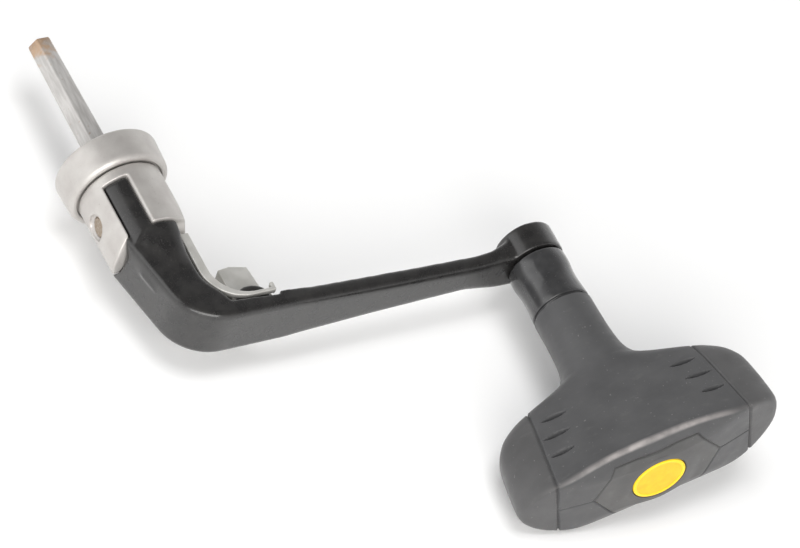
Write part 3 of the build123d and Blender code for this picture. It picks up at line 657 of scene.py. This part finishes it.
# ---------------------------------------------------------------- knob ferrule
ferrule_outline = (
    (core_neck_radius, -ferrule_end, 0),
    (core_neck_radius, -knob_start, 0.2),
    (ferrule_radius - 0.1, -knob_start, 0.5),
    (ferrule_radius, -knob_start - 2.2, 0.9),
    (ferrule_radius - 0.42, -ferrule_waist, 3.0),
    (ferrule_radius - 0.05, -ferrule_end + 1.5, 0.9),
    (ferrule_radius - 0.05, -ferrule_end + 0.75, 0.25),
    (ferrule_radius - 0.5, -ferrule_end + 0.55, 0.15),
    (ferrule_radius - 0.5, -ferrule_end, 0),
)
ferrule = turned("ferrule_sleeve", ferrule_outline, crank_radius)
place(ferrule, "knob", "knob_ferrule", ferrule_gloss())

# ---------------------------------------------------------------- knob form
quadrant_steps = 76
ring_spacing = 0.45
end_ring_count = 46
ridge_rounding_rounds = 7
normal_rounds = 6
end_face_softness = 0.35  # how gently the crown and the bevels of the end face meet
exponent_shift = 260  # keeps the exponentials in end_face clear of underflow
shoulder_out = 71  # below this the neck has no seams


def superellipse(half_length, half_thickness, squareness):
    """Ring of (along bar, across bar) points, evenly spaced in each quadrant, from the bar's + end."""
    angle = np.linspace(0, pi / 2, 400)
    length = half_length * np.cos(angle) ** (2 / squareness)
    width = half_thickness * np.sin(angle) ** (2 / squareness)
    length[-1] = 0
    travelled = np.concatenate(([0], np.cumsum(np.hypot(np.diff(length), np.diff(width)))))
    even = np.linspace(0, travelled[-1], quadrant_steps + 1)[:-1]
    quarter = np.stack((np.interp(even, travelled, length), np.interp(even, travelled, width)), axis=1)
    back = quarter[::-1]
    top = np.array(((0, half_thickness),))
    upper = np.concatenate((quarter, top, back[:-1] * (-1, 1)))
    return np.concatenate((upper, upper * (-1, -1)))


def end_face(along, across):
    """Distance out of the end face: crowned along the bar, bevelled down to the ridge across it."""
    crowned = end_crown - crown_drop * (along / bar_half_length) ** 2
    bevelled = end_crown - bevel_slope * np.maximum(np.abs(across) - bevel_start, 0)
    softness = end_face_softness
    total = np.exp(-crowned / softness + exponent_shift) + np.exp(-bevelled / softness + exponent_shift)
    lower = -softness * np.log(total) + exponent_shift * softness
    flat = smoothstep(9.0, badge_radius + 0.5, np.hypot(along, across))
    return lower + flat * (end_crown - lower)


def make_form():
    """Rings of the knob's outer form, from its neck to the badge's well, in (along bar, across bar, out)."""
    fine = np.linspace(ferrule_end + 0.06, ridge, 600)
    half_lengths = smooth_curve(length_profile, fine)
    travelled = np.concatenate(([0], np.cumsum(np.hypot(np.diff(fine), np.diff(half_lengths)))))
    levels = np.interp(np.arange(0, travelled[-1], ring_spacing), travelled, fine)
    levels = np.append(levels[:-1], ridge)
    rings = []
    for level in levels:
        flat_ring = superellipse(
            smooth_curve(length_profile, level),
            smooth_curve(thickness_profile, level),
            smooth_curve(squareness_profile, level),
        )
        rings.append(np.column_stack((flat_ring, np.full(len(flat_ring), level))))
    rings = np.array(rings)
    edge = rings[-1]
    rise = end_face(edge[:, 0], edge[:, 1]) - ridge
    rings[:, :, 2] += rise * smoothstep(83.0, ridge, levels)[:, None]
    bearing = np.arctan2(edge[:, 1] / bar_half_thickness, edge[:, 0] / bar_half_length)
    rim = (badge_radius + badge_gap) * np.stack((np.cos(bearing), np.sin(bearing)), axis=1)
    end_rings = []
    for share in np.linspace(1, 0, end_ring_count)[1:]:
        flat_ring = rim + share * (edge[:, :2] - rim)
        end_rings.append(np.column_stack((flat_ring, end_face(flat_ring[:, 0], flat_ring[:, 1]))))
    ridge_index = len(rings) - 1
    form = np.concatenate((rings, np.array(end_rings)))
    index = np.arange(len(form))
    before_ridge = smoothstep(ridge_index - 12, ridge_index - 3, index)
    weight = before_ridge * smoothstep(ridge_index + 14, ridge_index + 3, index)
    for _ in range(ridge_rounding_rounds):
        middle = 0.5 * (form[:-2] + form[2:])
        form[1:-1] += weight[1:-1, None, None] * (middle - form[1:-1])
    floor = form[-1] + (0, 0, -badge_depth)
    lip = form[-1] + (0, 0, -0.12)
    inner = floor * (0.4, 0.4, 1)
    middle = floor * (0.002, 0.002, 1)
    neck_turn = form[0] * (0.985, 0.985, 1) + (0, 0, -0.05)
    return np.concatenate((neck_turn[None], form, lip[None], floor[None], inner[None], middle[None]))


def segment_distance(along, across, start, end):
    """Distance of points from the segment between two (along, across) places."""
    run = np.subtract(end, start)
    share = np.clip(((along - start[0]) * run[0] + (across - start[1]) * run[1]) / (run @ run), 0, 1)
    return np.hypot(along - start[0] - share * run[0], across - start[1] - share * run[1])


panel_corners = [
    (panel_half_length, 0.0),
    (panel_corner, panel_half_width),
    (-panel_corner, panel_half_width),
    (-panel_half_length, 0.0),
    (-panel_corner, -panel_half_width),
    (panel_corner, -panel_half_width),
]
panel_edges = list(zip(panel_corners, panel_corners[1:] + panel_corners[:1]))


def seam_offset(along, out):
    """How far beyond the end cap's seam a point is, measured along the bar."""
    return np.abs(along) - seam_start - seam_lean * (out - seam_start_out)


def on_end_face(along, across, out):
    return out > end_face(along, across) - 1.2


def moulded_depth(points):
    """How deep the seams and grip slits are pressed into the form at each point."""
    along, across, out = points.T
    bar_zone = smoothstep(70.5, 72.0, out)
    seam = np.abs(seam_offset(along, out)) / seam_half_width
    depth = bar_zone * seam_depth * (1 - smoothstep(0.0, 1.0, seam))
    face = on_end_face(along, across, out)
    for start, end in panel_edges:
        line = segment_distance(along, across, start, end) / (0.8 * seam_half_width)
        depth = np.maximum(depth, face * 0.8 * seam_depth * (1 - smoothstep(0.0, 1.0, line)))
    seam_out = seam_start + seam_lean * (end_crown - 1.5 - seam_start_out)
    for side in (1, -1):
        line = segment_distance(along, across, (side * panel_half_length, 0.0), (side * seam_out, 0.0))
        fade = smoothstep(0.0, 1.0, line / (0.7 * seam_half_width))
        depth = np.maximum(depth, face * 0.6 * seam_depth * (1 - fade))
    depth = np.maximum(depth, slit_field(along, across, out))
    return depth


def slit_field(along, across, out):
    """Depth of the three lens-shaped slits at each end of both broad faces."""
    depth = np.zeros(len(along))
    broad = (np.abs(across) > 3.0) & (out < ridge - 0.6)
    for centre, distance, length in slits:
        lengthwise = (np.abs(along) - centre) / (length / 2)
        lens = np.clip(1 - lengthwise**2, 0, 1)
        sideways = np.abs(out - distance) / np.maximum(slit_half_width * lens, 0.001)
        pressed = slit_depth * np.sqrt(lens) * (1 - smoothstep(0.25, 1.05, sideways))
        depth = np.maximum(depth, broad * pressed)
    return depth


def near_detail(points):
    """True where the mesh needs to be finer for a seam or a slit."""
    along, across, out = points.T
    close = (np.abs(seam_offset(along, out)) < 0.62) & (out > 70.5)
    face = on_end_face(along, across, out)
    for start, end in panel_edges:
        close |= face & (segment_distance(along, across, start, end) < 0.55)
    beyond = (np.abs(along) > panel_half_length - 0.3) & (seam_offset(along, out) < 0.3)
    close |= face & beyond & (np.abs(across) < 0.55)
    for centre, distance, length in slits:
        lengthwise = np.abs(np.abs(along) - centre) < length / 2 + 0.35
        sideways = np.abs(out - distance) < slit_half_width + 0.4
        close |= lengthwise & sideways & (np.abs(across) > 3.0) & (out < ridge)
    return close


def knob_frame():
    """Local (along bar, across bar, out) in millimetres to the shared frame in metres."""
    bar = Vector((cos(bar_turn), 0, sin(bar_turn)))
    across = Vector((-sin(bar_turn), 0, cos(bar_turn)))
    out = Vector((0, -1, 0))
    turn = Matrix((bar, across, out)).transposed().to_4x4()
    return Matrix.Translation((crank_radius * MM, 0, 0)) @ turn @ Matrix.Scale(MM, 4)


def skin_from_rings(rings):
    """Mesh through the form's rings, with each vertex's share of the ridge's gloss and painted highlight
    kept in a layer.
    """
    count, around = rings.shape[:2]
    skin = bmesh.new()
    ridge_gloss_and_highlight = skin.verts.layers.float.new("ridge_gloss_and_highlight")
    verts = [skin.verts.new(point) for point in rings.reshape(-1, 3).tolist()]
    ridge_ring = rings[np.argmax(rings[:, around // 4, 1])]
    from_ridge = np.linalg.norm(rings - ridge_ring, axis=2)
    near_middle = smoothstep(bar_half_length - 3, 4.0, np.abs(rings[:, :, 0]))
    # Share near the ridge, fading towards the bar's ends: real gloss plus a painted highlight in the
    # rubber's colour.
    rubbed = smoothstep(0.95, 0.15, from_ridge) * near_middle
    for vert, share in zip(verts, rubbed.ravel().tolist()):
        vert[ridge_gloss_and_highlight] = share
    for i in range(count - 1):
        for j in range(around):
            k = (j + 1) % around
            here, beyond = i * around, (i + 1) * around
            skin.faces.new((verts[here + j], verts[here + k], verts[beyond + k], verts[beyond + j]))
    bmesh.ops.remove_doubles(skin, verts=skin.verts, dist=0.004)
    bmesh.ops.recalc_face_normals(skin, faces=skin.faces)
    return skin


def cut_at_seams(skin):
    """Adds an edge loop along each end cap's seam."""
    for side in (1, -1):
        near = []
        for face in skin.faces:
            middle = face.calc_center_median()
            if middle.x * side > 12 and middle.z > shoulder_out:
                near.append(face)
        cut = set(near) | {edge for face in near for edge in face.edges}
        cut |= {vert for face in near for vert in face.verts}
        place_on_seam = (side * seam_start, 0, seam_start_out)
        normal = Vector((side, 0, -seam_lean)).normalized()
        bmesh.ops.bisect_plane(skin, geom=list(cut), dist=0.0001, plane_co=place_on_seam, plane_no=normal)


def refine_near_detail(skin):
    """Splits the long edges wherever a seam or a slit will be pressed in."""
    centres = np.array([face.calc_center_median() for face in skin.faces])
    chosen = near_detail(centres)
    edges = {edge for face, pick in zip(skin.faces, chosen) if pick for edge in face.edges}
    long_edges = [edge for edge in edges if edge.calc_length() > 0.16]
    bmesh.ops.subdivide_edges(skin, edges=long_edges, cuts=2, use_grid_fill=True)


def press_details(skin):
    """Moves the skin inwards at its seams and slits, along normals averaged with their neighbours."""
    skin.normal_update()
    skin.verts.index_update()
    points = np.array([vert.co for vert in skin.verts])
    normals = np.array([vert.normal for vert in skin.verts])
    ends = np.array([(edge.verts[0].index, edge.verts[1].index) for edge in skin.edges])
    for _ in range(normal_rounds):
        gathered = normals.copy()
        np.add.at(gathered, ends[:, 0], normals[ends[:, 1]])
        np.add.at(gathered, ends[:, 1], normals[ends[:, 0]])
        normals = gathered / np.maximum(np.linalg.norm(gathered, axis=1, keepdims=True), 1e-9)
    moved = points - normals * moulded_depth(points)[:, None]
    for vert, position in zip(skin.verts, moved.tolist()):
        vert.co = position


def make_skin():
    """The whole outer form as one fine mesh, in local millimetres."""
    skin = skin_from_rings(make_form())
    cut_at_seams(skin)
    refine_near_detail(skin)
    press_details(skin)
    return skin


def in_panel(along, across):
    inside = True
    for (x0, y0), (x1, y1) in panel_edges:
        inside = inside and (x1 - x0) * (across - y0) - (y1 - y0) * (along - x0) > 0
    return inside


def zone_of(face):
    """Which moulding a face of the skin belongs to."""
    along, across, out = face.calc_center_median()
    if out > shoulder_out and abs(along) > seam_start + seam_lean * (out - seam_start_out):
        return "cap_right" if along > 0 else "cap_left"
    if out > end_crown - 5 and in_panel(along, across):
        if out > end_face(np.float64(along), np.float64(across)) - 1.5:
            return "panel"
    return "grip"


def zone_mesh(skin, zones, wanted, name):
    """The faces of one zone as a shell with thickness, in the shared frame."""
    part = skin.copy()
    part.faces.ensure_lookup_table()
    unwanted = [face for face, zone in zip(part.faces, zones) if zone != wanted]
    bmesh.ops.delete(part, geom=unwanted, context="FACES")
    mesh = bpy.data.meshes.new(name)
    part.to_mesh(mesh)
    part.free()
    mesh.transform(knob_frame())
    piece = new_piece(name, mesh)
    with_modifier(piece, "SOLIDIFY", thickness=skin_thickness * MM, offset=-1.0)
    shade(piece.data, sharp_above=50)
    return piece


def make_knob():
    skin = make_skin()
    zones = [zone_of(face) for face in skin.faces]
    for zone, name, node, slot, material in (
        ("grip", "grip_moulding", "knob_grip", "grip_rubber", grip_rubber),
        ("cap_left", "cap_moulding_left", "end_cap_left", "cap_rubber", cap_rubber),
        ("cap_right", "cap_moulding_right", "end_cap_right", "cap_rubber", cap_rubber),
        ("panel", "panel_moulding", "end_panel", "panel_rubber", panel_rubber),
    ):
        place(zone_mesh(skin, zones, zone, name), "knob", node, material)
    skin.free()


make_knob()

# ---------------------------------------------------------------- badge
badge_outline = (
    (0, -end_crown + badge_depth, 0),
    (badge_radius, -end_crown + badge_depth, 0),
    (badge_radius, -end_crown - 0.12, 0.35),
    (badge_radius - 0.65, -end_crown - 0.12, 0.15),
    (badge_radius - 0.8, -end_crown + 0.02, 0.15),
    (0, -end_crown - 0.1, 0),
)
badge = turned("badge_face", badge_outline, crank_radius)
badge_points = points_of(badge.data)
from_axis = np.hypot(badge_points[:, 0] - crank_radius, badge_points[:, 2])
rim_share = badge.data.attributes.new("rim", "FLOAT", "POINT")
on_rim = smoothstep(badge_radius - 0.85, badge_radius - 0.6, from_axis)
rim_share.data.foreach_set("value", on_rim.astype(np.float32))
place(badge, "knob", "badge_disc", badge_yellow())

# ---------------------------------------------------------------- CAD nodes that stay
screw_metal = plain_metal("screw_steel", (0.40, 0.40, 0.41), (0.55, 0.55, 0.56), 0.32)
bush_plastic = dark_plastic("bush_plastic", (0.5, 0.48, 0.42), (0.58, 0.56, 0.5), 0.45)
core_plastic = dark_plastic("core_plastic", (0.02, 0.02, 0.02), (0.03, 0.03, 0.03), 0.45)
for node, material in (
    ("collar_seal", small_part_finishes["collar_seal"]),
    ("fold_pin", small_part_finishes["fold_pin"]),
    ("pivot_washers", small_part_finishes["pivot_washers"]),
    ("pivot_bush", small_part_finishes["pivot_bush"]),
    ("lever_pin", enamel),
    ("knob_axle", small_part_finishes["knob_axle"]),
    ("screw_washer", screw_metal),
    ("knob_screw", screw_metal),
    ("bush_inboard", bush_plastic),
    ("bush_outboard", bush_plastic),
    ("knob_core", core_plastic),
):
    refinish(node, material)


# ---------------------------------------------------------------- camera
toward_camera = Vector((-0.457, -0.495, 0.739)).normalized()
upwards = Vector((0.194, 0.755, 0.625))
camera_distance = 1.2
sensor = 36.0
view_width = 149.25
aim_right = 55.04  # the view's middle, from the origin along the picture's right and up
aim_up = -20.43


def make_camera():
    right = upwards.cross(toward_camera).normalized()
    up = toward_camera.cross(right)
    aim = (right * aim_right + up * aim_up) * MM
    data = bpy.data.cameras.new("camera")
    data.sensor_width = sensor
    data.lens = sensor * camera_distance / (view_width * MM)
    data.clip_start = 0.05
    data.clip_end = 20.0
    camera = bpy.data.objects.new("camera", data)
    turn = Matrix((right, up, toward_camera)).transposed().to_4x4()
    camera.matrix_world = Matrix.Translation(aim + toward_camera * camera_distance) @ turn
    bpy.context.scene.collection.objects.link(camera)
    bpy.context.scene.camera = camera


make_camera()

# ---------------------------------------------------------------- floor and light
def make_floor():
    half = 1.6
    height = cad_box[0].z
    mesh = bpy.data.meshes.new("floor")
    corners = [(-half, -half, height), (half, -half, height), (half, half, height), (-half, half, height)]
    mesh.from_pydata(corners, [], [(0, 1, 2, 3)])
    floor = new_piece("floor", mesh)
    floor.data.materials.append(pale_floor())


def soft_light(name, direction, distance, size, power, tint=(1.0, 1.0, 1.0), in_gloss=True):
    """Square soft box that looks at the middle of the object, seen in reflections or not."""
    centre = (cad_box[0] + cad_box[1]) / 2
    data = bpy.data.lights.new(name, "AREA")
    data.shape = "SQUARE"
    data.size = size
    data.energy = power
    data.color = tint
    lamp = bpy.data.objects.new(name, data)
    heading = Vector(direction).normalized()
    lamp.location = centre + heading * distance
    lamp.rotation_mode = "QUATERNION"
    lamp.rotation_quaternion = heading.to_track_quat("Z", "Y")
    lamp.visible_glossy = in_gloss
    bpy.context.scene.collection.objects.link(lamp)


def make_sky():
    """Bright walls under a dimmer ceiling."""
    world = bpy.data.worlds.new("studio")
    world.use_nodes = True
    nodes = world.node_tree.nodes
    links = world.node_tree.links
    heading = nodes.new("ShaderNodeTexCoord")
    parts = nodes.new("ShaderNodeSeparateXYZ")
    strength = nodes.new("ShaderNodeMapRange")
    strength.inputs["From Min"].default_value = 0.05
    strength.inputs["From Max"].default_value = 0.75
    strength.inputs["To Min"].default_value = 1.15
    strength.inputs["To Max"].default_value = 0.16
    links.new(heading.outputs["Generated"], parts.inputs["Vector"])
    links.new(parts.outputs["Z"], strength.inputs["Value"])
    links.new(strength.outputs["Result"], nodes["Background"].inputs["Strength"])
    nodes["Background"].inputs["Color"].default_value = (1.0, 1.0, 1.0, 1.0)
    bpy.context.scene.world = world


make_floor()
soft_light("key", (-0.35, -0.8, 0.55), distance=0.8, size=0.5, power=3.6, tint=(1.0, 0.985, 0.96))
soft_light("fill", (-0.9, 0.3, 0.6), distance=0.9, size=0.7, power=1.6)
soft_light("top", (-0.1, -0.1, 1.0), distance=1.0, size=0.5, power=5.0, in_gloss=False)
soft_light("edge", (-0.75, -0.6, 0.4), distance=0.7, size=0.16, power=0.5)
make_sky()
bpy.context.scene.view_settings.view_transform = "Standard"
